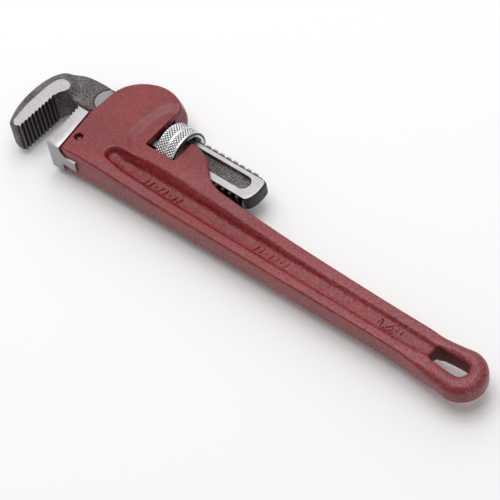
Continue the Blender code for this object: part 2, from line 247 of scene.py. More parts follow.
def calc(tree, operation, a, b=0.0, c=0.0):
    made = addNode(tree, "ShaderNodeMath", {0: a, 1: b}, operation=operation)
    if operation in ("MULTIPLY_ADD", "SMOOTH_MIN", "SMOOTH_MAX"):
        if isinstance(c, bpy.types.NodeSocket):
            tree.links.new(c, made.inputs[2])
        else:
            made.inputs[2].default_value = c
    return made.outputs[0]


def product(tree, first, *others):
    for other in others:
        first = calc(tree, "MULTIPLY", first, other)
    return first


def vectorCalc(tree, operation, a, b=(0, 0, 0)):
    return addNode(tree, "ShaderNodeVectorMath", {0: a, 1: b}, operation=operation).outputs[0]


def scaled(tree, vector, factor):
    return addNode(tree, "ShaderNodeVectorMath", {0: vector, "Scale": factor},
                   operation="SCALE").outputs[0]


def lengthOf(tree, vector):
    return addNode(tree, "ShaderNodeVectorMath", {0: vector}, operation="LENGTH").outputs["Value"]


def splitUp(tree, vector):
    return addNode(tree, "ShaderNodeSeparateXYZ", {0: vector}).outputs


def putTogether(tree, x=0.0, y=0.0, z=0.0):
    return addNode(tree, "ShaderNodeCombineXYZ", {0: x, 1: y, 2: z}).outputs[0]


def inMillimetres(tree, place):  # x, y and z from the datum
    return splitUp(tree, scaled(tree, vectorCalc(tree, "SUBTRACT", place, tuple(datum)), 1 / mm))


def shankRadius(tree, rise, z):  # rise is the height in Y over the shank's axis
    squares = calc(tree, "MULTIPLY_ADD", rise, rise, calc(tree, "MULTIPLY", z, z))
    return calc(tree, "SQRT", squares)


def easeRange(tree, value, low, high, start=0.0, end=1.0):
    made = addNode(tree, "ShaderNodeMapRange", {0: value, 1: low, 2: high, 3: start, 4: end},
                   interpolation_type="SMOOTHSTEP")
    return made.outputs[0]


def newGeometryTree(name, sizes):  # named number inputs, with their defaults
    tree = bpy.data.node_groups.new(name, "GeometryNodeTree")
    tree.is_modifier = True
    tree.interface.new_socket("Geometry", in_out="INPUT", socket_type="NodeSocketGeometry")
    for label, value in sizes.items():
        kind = "NodeSocketInt" if isinstance(value, int) else "NodeSocketFloat"
        socket = tree.interface.new_socket(label, in_out="INPUT", socket_type=kind)
        socket.default_value = value
    tree.interface.new_socket("Finish", in_out="INPUT", socket_type="NodeSocketMaterial")
    tree.interface.new_socket("Geometry", in_out="OUTPUT", socket_type="NodeSocketGeometry")
    return tree, tree.nodes.new("NodeGroupInput").outputs


def pointPlace(tree):
    return addNode(tree, "GeometryNodeInputPosition").outputs[0]


def placed(tree, shape, **sockets):  # moved to a Position, or by an Offset
    return addNode(tree, "GeometryNodeSetPosition", {"Geometry": shape, **sockets}).outputs[0]


def toMetres(tree, shape):  # from millimetres round the datum
    return addNode(tree, "GeometryNodeTransform", {"Geometry": shape, "Scale": (mm, mm, mm),
                                                   "Translation": tuple(datum)}).outputs[0]


def closeTree(tree, shape, finish):
    real = addNode(tree, "GeometryNodeRealizeInstances", {"Geometry": shape}).outputs[0]
    paint = addNode(tree, "GeometryNodeSetMaterial", {"Geometry": real, "Material": finish})
    out = tree.nodes.new("NodeGroupOutput")
    tree.links.new(paint.outputs[0], out.inputs[0])


def growWith(piece, tree, sizes, look):  # runs a tree on the piece and keeps plain mesh
    step = piece.modifiers.new(tree.name, "NODES")
    step.node_group = tree
    sockets = [item for item in tree.interface.items_tree if item.in_out == "INPUT"]
    keys = {item.name: item.identifier for item in sockets}
    for label, value in sizes.items():
        step[keys[label]] = value
    step[keys["Finish"]] = look
    return settle(piece)


def blankPiece(name):
    piece = bpy.data.objects.new(name, bpy.data.meshes.new(name))
    bpy.context.scene.collection.objects.link(piece)
    return piece


# finishes; patterns are in metres on Object coordinates

def newFinish(name, sockets):
    made = bpy.data.materials.new(name)
    made.use_nodes = True
    tree = made.node_tree
    shader = tree.nodes["Principled BSDF"]
    for socket, value in sockets.items():
        shader.inputs[socket].default_value = value
    place = tree.nodes.new("ShaderNodeTexCoord").outputs["Object"]
    return made, tree, shader, place


def noise(tree, place, scale, detail=3.0, roughness=0.55, stretch=None):
    if stretch:
        place = addNode(tree, "ShaderNodeMapping", {"Vector": place, "Scale": stretch}).outputs[0]
    made = addNode(tree, "ShaderNodeTexNoise",
                   {"Vector": place, "Scale": scale, "Detail": detail, "Roughness": roughness})
    return made.outputs["Fac"]


def mixColor(tree, share, first, second):
    made = tree.nodes.new("ShaderNodeMix")
    made.data_type = "RGBA"
    for index, value in ((0, share), (6, first), (7, second)):
        if isinstance(value, bpy.types.NodeSocket):
            tree.links.new(value, made.inputs[index])
        elif index:
            made.inputs[index].default_value = (*value, 1.0)
        else:
            made.inputs[index].default_value = value
    return made.outputs[2]


def bump(tree, height, strength, distance, normal=None):
    inputs = {"Height": height, "Strength": strength, "Distance": distance}
    if normal is not None:
        inputs["Normal"] = normal
    return addNode(tree, "ShaderNodeBump", inputs).outputs[0]


def paintEnamel():
    paint = {
        "deep": (0.150, 0.0066, 0.0085),
        "light": (0.272, 0.0165, 0.0205),
        "slotShade": (0.122, 0.0125, 0.0145),
        "chalkAndSheen": (0.330, 0.0620, 0.0720),
        "patches": 38.0,        # scales of the patterns, per metre
        "peel": 760.0,          # orange peel in the enamel
        "skin": 300.0,          # lumps of the sand casting
        "grit": 1250.0,         # dust and fine pits
        "roughness": 0.25,
        "specular": 0.55,
        "lumpDepth": 0.0006,
        "grainDepth": 0.00042,
        "channelDepth": (5.2, 7.2),     # off the middle plane, where the rougher skin ends
        "wornAlong": (85, 175),         # the handle gets chalky wear and painted sheen between these
        "wallHeight": (1.7, 3.4),       # but less so on its lower wall
        "slotEnds": (237.0, 260.6),
        "slotSides": (6.9, 16.6),
        "slotDepth": (3.6, 6.4),
    }
    made, tree, shader, place = newFinish("redEnamel", {"Specular IOR Level": paint["specular"]})
    x, y, z = inMillimetres(tree, place)
    depth = calc(tree, "ABSOLUTE", z)
    channel = easeRange(tree, depth, *paint["channelDepth"], 1.0, 0.0)
    wide = noise(tree, place, paint["patches"], 4.0)
    peel = noise(tree, place, paint["peel"], 2.0, 0.6)
    skin = noise(tree, place, paint["skin"], 5.0, 0.65)
    grit = noise(tree, place, paint["grit"], 2.0, 0.6)
    fine = calc(tree, "MULTIPLY_ADD", peel, 0.28, calc(tree, "MULTIPLY", grit, 0.32))
    tone = calc(tree, "MULTIPLY_ADD", wide, 0.20, calc(tree, "MULTIPLY_ADD", skin, 0.20, fine))
    color = mixColor(tree, easeRange(tree, tone, 0.41, 0.59), paint["deep"], paint["light"])
    # chalky wear and painted sheen: a paler pink speckle along the handle, less on its lower wall
    worn = product(tree, easeRange(tree, x, *paint["wornAlong"]),
                   easeRange(tree, fine, 0.26, 0.36, 0.04, 0.72),
                   easeRange(tree, y, *paint["wallHeight"], 0.15, 1.0))
    color = mixColor(tree, worn, color, paint["chalkAndSheen"])
    # painted shade: the hanging slot's inner wall is darkened and made rougher
    inner = product(tree, within(tree, x, *paint["slotEnds"], 0.5),
                    within(tree, y, *paint["slotSides"], 0.5),
                    easeRange(tree, depth, *paint["slotDepth"], 1.0, 0.0))
    color = mixColor(tree, inner, color, paint["slotShade"])        # painted shade on the slot's wall
    tree.links.new(color, shader.inputs["Base Color"])
    gloss = calc(tree, "MULTIPLY_ADD", skin, 0.22, paint["roughness"] - 0.10)
    gloss = calc(tree, "MULTIPLY_ADD", inner, 0.25, gloss)
    tree.links.new(gloss, shader.inputs["Roughness"])
    rough = calc(tree, "MULTIPLY", skin, calc(tree, "MULTIPLY_ADD", channel, 1.2, 0.65))
    lumps = bump(tree, rough, 0.85, paint["lumpDepth"])
    tree.links.new(bump(tree, fine, 0.8, paint["grainDepth"], lumps), shader.inputs["Normal"])
    return made


def metalFinish(name, metal):
    made, tree, shader, place = newFinish(name, {"Metallic": 1.0})
    lines = noise(tree, place, metal["grain"], 3.0, 0.6, metal["stretch"])
    wide = noise(tree, place, 90.0, 3.0)
    tone = calc(tree, "MULTIPLY_ADD", lines, 0.5, calc(tree, "MULTIPLY", wide, 0.5))
    color = mixColor(tree, easeRange(tree, tone, 0.3, 0.7), metal["dark"], metal["light"])
    # painted shade: the knurl grooves are darkened to near black, and the bore is left as it is
    if "grooveShade" in metal:
        low, high = metal["grooveShade"]
        x, y, z = inMillimetres(tree, place)
        radius = shankRadius(tree, calc(tree, "SUBTRACT", y, hook["shankY"]), z)
        bore = easeRange(tree, radius, low - 1.2, low - 1.0, 1.0, 0.0)
        unshadedShare = calc(tree, "MAXIMUM", easeRange(tree, radius, low, high), bore)
        color = mixColor(tree, unshadedShare, tuple(0.09 * value for value in metal["dark"]), color)
    if "sawn" in metal:
        x, y, z = inMillimetres(tree, place)
        sawn = easeRange(tree, y, metal["sawn"] - 0.1, metal["sawn"], 1.0, 0.0)
        color = mixColor(tree, sawn, color, tuple(0.60 * value for value in metal["light"]))
    tree.links.new(color, shader.inputs["Base Color"])
    gloss = calc(tree, "MULTIPLY_ADD", lines, 0.2, metal["roughness"] - 0.1)
    tree.links.new(gloss, shader.inputs["Roughness"])
    tree.links.new(bump(tree, lines, 0.4, metal["depth"]), shader.inputs["Normal"])
    return made


def within(tree, value, low, high, soft):  # 1 between two heights, 0 outside them
    up = easeRange(tree, value, low - soft, low + soft)
    down = easeRange(tree, value, high - soft, high + soft, 1.0, 0.0)
    return calc(tree, "MULTIPLY", up, down)


def forgedFinish(h):
    look = {
        "scaleDark": (0.052, 0.043, 0.044),
        "scaleLight": (0.300, 0.268, 0.272),
        "ground": (0.500, 0.480, 0.492),
        "groundDark": (0.400, 0.384, 0.394),
        "worn": (0.270, 0.258, 0.262),
        # near black: painted shade in the tooth valleys and the thread roots
        "root": (0.012, 0.010, 0.010),
        "crest": (0.215, 0.185, 0.178),
        "grain": 1150.0,        # scales of the patterns, per metre
        "patches": 95.0,
        "scratches": 2600.0,
        "threadAlong": (24.0, 100.6),
        "teethAlong": (-29.5, -26.0),
        "teethHeight": (-2.6, 24.7),
        "wornAlong": (-13.0, 9.0),      # where the shank slides into the head
        "shankEnd": (99.5, 102.0),
    }
    made, tree, shader, place = newFinish("forgedSteel", {})
    x, y, z = inMillimetres(tree, place)
    height = calc(tree, "ABSOLUTE", z)
    rise = calc(tree, "SUBTRACT", y, h["shankY"])
    pad = easeRange(tree, height, h["padHalf"] - 0.12, h["padHalf"] - 0.02)
    flat = within(tree, height, h["shankHalf"] - 0.12, h["shankHalf"] + 0.06, 0.05)
    flat = calc(tree, "MULTIPLY", flat, easeRange(tree, x, -12.5, -11.9))
    thread = product(tree, easeRange(tree, calc(tree, "ABSOLUTE", rise), 7.2, 7.7),
                     within(tree, x, *look["threadAlong"], 0.3))
    machined = calc(tree, "MAXIMUM", calc(tree, "MAXIMUM", pad, flat), thread)
    scale = noise(tree, place, look["grain"], 4.0, 0.7)
    patches = noise(tree, place, look["patches"], 3.0)
    tone = calc(tree, "MULTIPLY_ADD", scale, 0.8, calc(tree, "MULTIPLY", patches, 0.25))
    forged = easeRange(tree, tone, 0.42, 0.70)
    rough = mixColor(tree, forged, look["scaleDark"], look["scaleLight"])
    # painted shade: the valleys between the hook's teeth go near black, and the crests take a
    # lighter tone
    crest = calc(tree, "MULTIPLY_ADD", y, h["toothSlope"], h["toothX"])
    sunk = calc(tree, "SUBTRACT", x, crest)
    tooth = mixColor(tree, easeRange(tree, sunk, -1.0, -0.15), look["root"], look["crest"])
    rows = product(tree, within(tree, x, *look["teethAlong"], 0.1),
                   within(tree, y, *look["teethHeight"], 0.1))
    rough = mixColor(tree, rows, rough, tooth)
    rough = mixColor(tree, easeRange(tree, x, *look["shankEnd"]), rough, look["scaleDark"])
    scratches = noise(tree, place, look["scratches"], 2.0, 0.5, (0.08, 1.0, 1.0))
    fresh = easeRange(tree, scratches, 0.35, 0.65)
    smooth = mixColor(tree, fresh, look["groundDark"], look["ground"])
    smooth = mixColor(tree, within(tree, x, *look["wornAlong"], 3.0), smooth, look["worn"])
    # painted shade: the thread's roots go near black, and its crests are darker on the front side
    # than at the back
    radius = shankRadius(tree, rise, z)
    ridge = mixColor(tree, easeRange(tree, rise, -3.0, 3.0), look["scaleDark"], look["ground"])
    screw = easeRange(tree, radius, h["root"], h["crest"] - 0.25)
    screw = mixColor(tree, screw, look["root"], ridge)
    sides = calc(tree, "MULTIPLY", thread, easeRange(tree, radius, 8.4, 8.8))
    smooth = mixColor(tree, sides, smooth, screw)
    tree.links.new(mixColor(tree, machined, rough, smooth), shader.inputs["Base Color"])
    metal = calc(tree, "MULTIPLY_ADD", machined, 0.35, 0.6)
    tree.links.new(metal, shader.inputs["Metallic"])
    gloss = calc(tree, "MULTIPLY_ADD", machined, -0.1, 0.47)
    gloss = calc(tree, "MULTIPLY_ADD", scale, 0.12, calc(tree, "SUBTRACT", gloss, 0.06))
    tree.links.new(gloss, shader.inputs["Roughness"])
    bare = calc(tree, "SUBTRACT", 1.0, machined)
    pits = calc(tree, "MULTIPLY", scale, bare)
    rough = bump(tree, pits, 0.8, 0.0006)
    tree.links.new(bump(tree, scratches, 0.08, 0.00005, rough), shader.inputs["Normal"])
    return made


casting = {
    "step": 0.6,            # grid the surface is drawn on
    "headHalf": 10.0,
    "handleHalf": 6.9,
    "webHalf": 2.75,
    "webRise": 1.45,        # the web thickens towards the hanging slot
    "runOut": 3.4,          # how much shallower the channel starts, in the head
    "humpX": 21.6,
    "humpY": 40.8,
    "humpRadius": 23.9,
    "bulbX": 255.8,
    "bulbY": 11.4,
    "bulbRadius": 13.6,
    "slotLow": 242.3,       # centres of the hanging slot's round ends
    "slotHigh": 255.0,
    "slotY": 11.8,
    "slotRadius": 4.1,
    "crown": 2.4,           # how far the hump's wall leans in at its faces
    "plateDrop": 1.5,       # dip between the head's plate and the border round the window
    "borderRise": 0.75,     # and how far that border rises again
    "edge": 1.15,
    "bulbEdge": 4.9,
    "slotEdge": 1.5,
    "slotFlare": 4.4,
    "shankY": 39.4,
    "windowLow": 36.4,
    "windowHigh": 55.9,
    "windowRadius": 14.25,
    "windowEdge": 0.7,
    "frontSlope": -0.1135,
    "tunnel": ((-20, 26.9, -5.7), (46, 50.2, 5.7)),         # boxes cut for the shank,
    "springPocket": ((10.6, 25.9, -5.0), (46, 30, 5.0)),    # the flat spring
    "slit": ((50, 28.6, -5.2), (130, 90, 5.2)),             # and the shank past the window
    "coil": (20.0, 24.3),       # the coil spring's hole
    "coilRadius": 4.4,
    "coilHalf": 3.1,
    "shoulder": 0.3,            # the heel jaw's seat, behind the leaned front
    "seatTop": 27.4,
    "tenonReach": 10.1,
    "tenonLow": -4.0,
    "tenonHigh": 3.7,
    "pinHole": 2.35,
}


def castingOutline(c):
    lower = smoothPath([(0.0, -0.2), (12.0, 0.5), (30.0, 0.7), (69.0, 0.9), (124.0, 1.25),
                        (202.0, 1.7), (226.0, 1.4)], 3)
    bulb = arcPath(c["bulbX"], c["bulbY"], c["bulbRadius"], -104, 104, 40)
    upper = smoothPath([(238.0, 22.0), (205.0, 22.3), (150.0, 23.8), (115.0, 25.4), (98.0, 26.3),
                        (88.0, 27.2), (81.0, 29.7), (75.5, 34.2), (70.0, 38.6), (64.0, 41.6),
                        (58.5, 42.6), (55.5, 42.6)], 6)
    hump = arcPath(c["humpX"], c["humpY"], c["humpRadius"], 38, 172, 48)
    return lower + bulb + upper + hump + [(28.0 * c["frontSlope"], 28.0)]


def castingTop(c, x, y):  # height of the near face over the middle plane
    lean = 0.385 * x - 0.923 * y
    handle = c["handleHalf"] + 0.75 * (1 - ramp(x, 70, 175))
    top = c["headHalf"] + (handle - c["headHalf"]) * ramp(lean, -1, 25)
    border = [(44.0, 64.0), (37.5, 55.8), (31.7, 52.2), (28.8, 44.1), (27.6, 33.4), (29.5, 25.0),
              (36.0, 20.0), (120.0, 14.0), (120.0, 64.0)]
    fade = 1 - ramp(x, 78, 100)
    edge = areaDistance(x, y, smoothPath(border[:7], 5) + border[7:])
    dip = c["plateDrop"] * ramp(-edge, -4.4, 1.4)
    top = top - fade * (dip - c["borderRise"] * ramp(-edge, 0.8, 6.6))

    low = [(30.0, 10.5), (41.0, 10.1), (69.0, 9.2), (97.0, 8.9), (124.0, 8.7), (163.0, 8.1),
           (202.0, 7.7), (226.0, 7.9), (240.0, 9.0)]
    high = [(240.0, 14.8), (226.0, 15.5), (209.0, 15.8), (163.0, 15.9), (145.0, 15.9),
            (116.0, 16.2), (76.0, 16.9), (48.0, 17.2), (37.0, 16.6), (31.0, 16.1)]
    start = arcPath(26.6, 13.2, 2.9, 105, 250, 14)
    end = arcPath(247.0, c["slotY"], 2.4, -60, 60, 8)
    out = areaDistance(x, y, start + low + end + high)
    upper = ramp(y - (13.6 - 0.008 * x), -2.0, 2.0)
    steep = (1.75 + 1.8 * ramp(x, 100, 185)) * upper + 2.1 * (1 - upper)
    steep = 2.3 + (steep - 2.3) * ramp(x, 25, 44)
    foot = 0.9                  # fillet between the channel's floor and its walls
    web = c["webHalf"] + c["webRise"] * ramp(x, 100, 205)
    wall = web + steep * (out + np.sqrt(out * out + foot * foot)) / 2
    wall = wall + c["runOut"] * (1 - ramp(x, 22, 38))
    return softMin(top, wall, 1.5)


def castingField(c, axes, x, y):
    z = axes[2][None, None, :]
    side = areaDistance(x, y, castingOutline(c))
    top = castingTop(c, x, y)
    slopeX, slopeY = np.gradient(top, c["step"])
    stretch = np.minimum(np.sqrt(1 + slopeX ** 2 + slopeY ** 2), 2.5)
    cap = (np.abs(z) - top[:, :, None]) / stretch[:, :, None]

    turn = np.degrees(np.arctan2(y - c["humpY"], x - c["humpX"]))
    onHump = ramp(turn, 20, 50) * (1 - ramp(turn, 108, 172)) * ramp(y, 36, 46)
    lean = 0.35 + (c["crown"] - 0.35) * onHump
    walls = side[:, :, None] + lean[:, :, None] * np.minimum(np.abs(z) / c["headHalf"], 1.0) ** 1.7
    edge = c["edge"] + (c["bulbEdge"] - c["edge"]) * ramp(x, 226, 252)
    edge = np.where(y < 30, edge * (0.35 + 0.65 * ramp(x, 0, 10)), edge)
    edge = edge * (1 - 0.35 * onHump)
    body = roundMax(walls, cap, np.broadcast_to(edge[:, :, None], cap.shape))

    reach = (c["slotHigh"] - c["slotLow"]) / 2
    along = np.maximum(np.abs(x - (c["slotLow"] + c["slotHigh"]) / 2) - reach, 0)
    slot = c["slotRadius"] - np.hypot(along, y - c["slotY"])
    flare = c["slotEdge"] + (c["slotFlare"] - c["slotEdge"]) * ramp(x, 236, 252)
    body = roundMax(body, np.broadcast_to(slot[:, :, None], body.shape), flare[:, :, None])

    across = y[:, :, None] - c["shankY"]
    middle = (c["windowLow"] + c["windowHigh"]) / 2
    half = (c["windowHigh"] - c["windowLow"]) / 2
    bore = np.where(across < 0, np.hypot(across, z), np.abs(z)) - c["windowRadius"]
    window = np.maximum(np.abs(x - middle)[:, :, None] - half, bore)
    body = roundMax(body, -window, c["windowEdge"])

    def boxField(low, high):
        result = np.full(body.shape, -np.inf)
        for spot, start, end in zip((x[:, :, None], y[:, :, None], z), low, high):
            result = np.maximum(result, np.maximum(start - spot, spot - end))
        return result

    body = roundMax(body, -boxField(*c["tunnel"]), 0.4)
    body = np.maximum(body, -boxField(*c["springPocket"]))
    coil = np.maximum(np.hypot(x[:, :, None] - c["coil"][0], z) - c["coilRadius"],
                      np.abs(y[:, :, None] - c["coil"][1]) - c["coilHalf"])
    body = np.maximum(body, -coil)
    body = roundMax(body, -boxField(*c["slit"]), 0.5)

    front = x - c["frontSlope"] * y          # distance behind the head's leaned face
    front = np.broadcast_to(front[:, :, None], body.shape)
    seat = np.where(y[:, :, None] < c["seatTop"], c["shoulder"] - front, -20.0)
    body = roundMax(body, seat, 0.25)
    under = c["tenonLow"] - z
    tenon = np.maximum(front - c["tenonReach"], np.maximum(under, z - c["tenonHigh"]))
    bend = (6.0, 9.4)                        # the tenon's root swells round this line
    fillet = 5.7 - np.hypot(front - bend[0], z - bend[1])
    flare = np.maximum(np.maximum(front - bend[0], z - bend[1]), fillet)
    tenon = np.minimum(tenon, np.maximum(flare, under))
    tenon = np.maximum(tenon, y[:, :, None] - c["seatTop"] + 0.3)
    body = np.maximum(body, -tenon)
    hole = np.hypot(x - pinSpot[0], y - pinSpot[1]) - c["pinHole"]
    body = roundMax(body, np.broadcast_to(-hole[:, :, None], body.shape), 0.25)
    return body


def makeCasting(c, look):
    axes, x, y = gridOf((-5.4, -2.4, -12.0), (274.2, 67.2, 12.0), c["step"])
    field = castingField(c, axes, x, y)
    points, faces = skinOf(field, [a[0] for a in axes], c["step"])
    piece = meshFrom("castHandle", points, faces)
    return shade(piece, look)


# a forging, with its teeth and thread made by rule
hook = {
    "step": 0.42,
    "padHalf": 10.0,
    "neckHalf": 5.35,       # clears the casting when the jaws close
    "shankHalf": 4.5,
    "shankY": 39.4,
    "plainHalf": 8.0,
    "shankEnd": 104.0,
    "toothX": -27.5,        # tooth crests at the toe
    "toothSlope": 0.035,
    "toothLow": -1.4,
    "toothTop": 24.6,
    "toothCount": 10,
    "toothDepth": 1.2,
    "backEdge": 2.8,
    "threadStart": 26.0,
    "threadEnd": 99.6,
    "root": 9.0,
    "crest": 10.4,
    "pitch": 4.65,
    "recessFloor": 1.95,
    "recessTop": 6.0,
    "recessLow": 12.0,
    "recessHigh": 92.8,
    "recessRadius": 4.0,
}


def hookOutline(h):
    back = smoothPath([(-36.6, -1.4), (-39.9, 6.0), (-41.8, 14.0), (-42.28, 22.0), (-41.2, 30.5),
                       (-38.0, 38.5), (-32.0, 44.6), (-23.5, 48.2), (-13.0, 49.2), (-3.0, 48.4),
                       (4.0, h["shankY"] + h["plainHalf"])], 8)
    plain = h["plainHalf"]
    shank = [(97.0, plain), (101.3, plain), (103.4, 6.2), (h["shankEnd"], -1.0), (102.4, -6.2),
             (99.6, -plain), (95.0, -plain)]
    end = smoothPath([(x, h["shankY"] + rise) for x, rise in shank], 6)
    neckLow = h["shankY"] - plain - 0.6
    root = h["toothX"] - h["toothDepth"] - 0.1
    throat = arcPath(-21.4, 25.6, neckLow - 25.6, 90, 180, 10)
    inner = [(4.0, h["shankY"] - plain), (-2.0, neckLow), (-19.0, neckLow)]
    toe = smoothPath([(root, -1.4), (-30.5, -2.7), (-34.2, -2.72), (-36.6, -1.4)], 5)
    rowEnd = (root + h["toothSlope"] * h["toothTop"], h["toothTop"])
    return back + end + inner + throat + [rowEnd] + toe[:-1]


def hookTop(h, x, y):
    pad = [(-33.4, 3.2), (-32.6, -0.2), (-30.0, -2.4), (-26.0, -2.6), (-26.0, 25.0), (-25.7, 28.0),
           (-24.3, 31.2), (-23.9, 33.6), (-25.3, 35.6), (-28.0, 36.2), (-31.0, 35.2), (-33.2, 31.0),
           (-34.2, 22.0), (-34.3, 12.0)]
    out = areaDistance(x, y, smoothPath(pad + [pad[0]], 4)[:-1])
    toNeck = ramp(x + 0.35 * y, -21.0, -7.0)
    slope = 0.20 + 1.0 * toNeck
    swell = h["neckHalf"] + 0.5 * (1 - ramp(x, -26, -19))
    fall = h["padHalf"] + 0.1 - slope * np.maximum(out, 0) - 0.03 * np.maximum(out, 0) ** 1.5
    top = -softMin(-fall, -swell, 2.2)
    top = np.minimum(top, h["padHalf"])
    patch = np.hypot(np.minimum(x + 4.6, 0), np.maximum(np.abs(y - 40.9) - 0.2, 0) * 0.98) - 6.6
    patch = np.where(x > -4.6, -5.0, patch)
    return softMin(top, h["shankHalf"] + 1.6 * np.maximum(patch, 0), 0.25)


def makeForging(h):
    axes, x, y = gridOf((-44.0, -4.4, -11.2), (105.6, 51.2, 11.2), h["step"])
    z = axes[2][None, None, :]
    side = areaDistance(x, y, hookOutline(h))
    top = hookTop(h, x, y)
    slopeX, slopeY = np.gradient(top, h["step"])
    stretch = np.minimum(np.sqrt(1 + slopeX ** 2 + slopeY ** 2), 2.0)
    cap = (np.abs(z) - top[:, :, None]) / stretch[:, :, None]
    root = h["toothX"] + h["toothSlope"] * y
    toTeeth = np.hypot(np.maximum(root - x, 0), np.maximum(y - 27.0, 0))
    edge = 0.3 + (h["backEdge"] - 0.3) * ramp(toTeeth, 1.5, 8.5) * (1 - ramp(x, -10, 2))
    edge = edge + 1.1 * ramp(x, 98.5, 102.5)
    field = roundMax(np.broadcast_to(side[:, :, None], cap.shape), cap, edge[:, :, None])
    points, faces = skinOf(field, [a[0] for a in axes], h["step"])
    return meshFrom("hookForging", points, faces)


def threadTree():
    tree, given = newGeometryTree("screwThread", {
        "Length": 73.6, "Root": 9.0, "Crest": 10.4, "Pitch": 4.65, "Half Thickness": 4.46,
        "Start": 26.0, "Height": 39.4})
    rod = addNode(tree, "GeometryNodeMeshCylinder", {"Vertices": 168, "Side Segments": 300,
                                                     "Radius": 1.0, "Depth": given["Length"]},
                  fill_type="NGON")
    x, y, z = splitUp(tree, pointPlace(tree))
    turn = calc(tree, "DIVIDE", calc(tree, "ARCTAN2", y, x), 2 * math.pi)
    phase = calc(tree, "SUBTRACT", calc(tree, "DIVIDE", z, given["Pitch"]), turn)
    off = calc(tree, "ABSOLUTE", calc(tree, "SUBTRACT", calc(tree, "FRACT", phase), 0.5))
    ridge = easeRange(tree, off, 0.13, 0.30, 1.0, 0.0)
    reach = calc(tree, "SUBTRACT", given["Crest"], given["Root"])
    fromEnd = calc(tree, "SUBTRACT", calc(tree, "DIVIDE", given["Length"], 2.0),
                   calc(tree, "ABSOLUTE", z))
    ridge = calc(tree, "MULTIPLY", ridge, easeRange(tree, fromEnd, 0.2, 3.2))
    radius = calc(tree, "MULTIPLY_ADD", ridge, reach, given["Root"])
    wide = calc(tree, "MINIMUM", calc(tree, "MULTIPLY", x, radius), given["Half Thickness"])
    wide = calc(tree, "MAXIMUM", wide, calc(tree, "MULTIPLY", given["Half Thickness"], -1.0))
    middle = calc(tree, "MULTIPLY_ADD", given["Length"], 0.5, given["Start"])
    along = calc(tree, "ADD", z, middle)
    raised = calc(tree, "ADD", calc(tree, "MULTIPLY", y, radius), given["Height"])
    place = putTogether(tree, along, raised, calc(tree, "MULTIPLY", wide, -1.0))
    shaped = placed(tree, rod.outputs[0], Position=place)
    closeTree(tree, toMetres(tree, shaped), given["Finish"])
    return tree


def toothTree():
    tree, given = newGeometryTree("toothRow", {
        "Count": 10, "Depth": 1.2, "Back": 1.6, "Width": 20.0, "Start X": -27.5, "Start Y": -1.4,
        "End X": -26.64, "End Y": 24.6})
    start = putTogether(tree, given["Start X"], given["Start Y"])
    end = putTogether(tree, given["End X"], given["End Y"])
    step = scaled(tree, vectorCalc(tree, "SUBTRACT", end, start),
                  calc(tree, "DIVIDE", 1.0, given["Count"]))
    row = addNode(tree, "GeometryNodeMeshLine", {"Count": given["Count"], "Start Location": start,
                                                 "Offset": step}, mode="OFFSET")
    tooth = addNode(tree, "GeometryNodeMeshCube", {"Size": (1, 1, 1), "Vertices X": 2,
                                                   "Vertices Y": 2, "Vertices Z": 2})
    x, y, z = splitUp(tree, pointPlace(tree))
    front = calc(tree, "GREATER_THAN", x, 0.0)
    upper = calc(tree, "GREATER_THAN", y, 0.0)
    low = product(tree, front, calc(tree, "SUBTRACT", 1.0, upper), 0.86)
    tipped = calc(tree, "SUBTRACT", low, calc(tree, "SUBTRACT", 1.0, front))
    reach = calc(tree, "MULTIPLY", calc(tree, "MAXIMUM", tipped, 0.0), given["Depth"])
    back = calc(tree, "MULTIPLY", calc(tree, "MINIMUM", tipped, 0.0), given["Back"])
    out = calc(tree, "SUBTRACT", calc(tree, "ADD", reach, back), given["Depth"])
    lift = calc(tree, "MULTIPLY", calc(tree, "ADD", y, 0.5), lengthOf(tree, step))
    place = putTogether(tree, out, lift, calc(tree, "MULTIPLY", z, given["Width"]))
    teeth = addNode(tree, "GeometryNodeInstanceOnPoints", {
        "Points": row.outputs[0], "Instance": placed(tree, tooth.outputs[0], Position=place)})
    real = addNode(tree, "GeometryNodeRealizeInstances", {"Geometry": teeth.outputs[0]})
    joined = addNode(tree, "GeometryNodeMergeByDistance", {"Geometry": real.outputs[0],
                                                           "Distance": 0.01})
    closeTree(tree, toMetres(tree, joined.outputs[0]), given["Finish"])
    return tree


def makeHook(h, look):
    piece = makeForging(h)
    print("forging", len(piece.data.polygons), "faces")
    thread = growWith(blankPiece("thread"), threadTree(), {
        "Length": h["threadEnd"] - h["threadStart"], "Root": h["root"], "Crest": h["crest"],
        "Pitch": h["pitch"], "Half Thickness": h["shankHalf"] - 0.03, "Start": h["threadStart"],
        "Height": h["shankY"]}, look)
    carve(piece, thread, "UNION")
    teeth = growWith(blankPiece("teeth"), toothTree(), {
        "Count": h["toothCount"], "Depth": h["toothDepth"], "Back": 0.5,
        "Width": 2 * h["padHalf"] - 0.02, "Start X": h["toothX"], "Start Y": h["toothLow"],
        "End X": h["toothX"] + h["toothSlope"] * h["toothTop"], "End Y": h["toothTop"]}, look)
    carve(piece, teeth, "UNION")
    middle = h["shankY"] + 0.7
    groove = arcPath(h["recessHigh"], middle, h["recessRadius"], -90, 90, 16)
    groove += arcPath(h["recessLow"], middle, h["recessRadius"], 90, 270, 16)
    over = Matrix.Translation(datum) @ Matrix.Diagonal((1, 1, -1, 1)) @ Matrix.Translation(-datum)
    for farSide in (False, True):
        cutter = prism("recess", groove, h["recessFloor"], h["recessTop"], 0.7)
        if farSide:
            cutter.data.transform(over)
            cutter.data.flip_normals()
        carve(piece, cutter, "DIFFERENCE")
    piece.name = "hookJaw"
    return shade(piece, look, 32)


nut = {
    "low": 42.0,
    "high": 55.0,
    "radius": 13.62,
    "bore": 10.8,
    "chamfer": 0.8,
    "around": 460,
    "rings": 64,
    "starts": 46,           # crossing knurl grooves round the ring
    "lead": 2.05,           # length of one diamond
    "depth": 0.44,
    "bandLow": 43.0,        # two knurled bands with a plain one between
    "gapLow": 47.9,
    "gapHigh": 49.3,
    "bandHigh": 53.6,
}


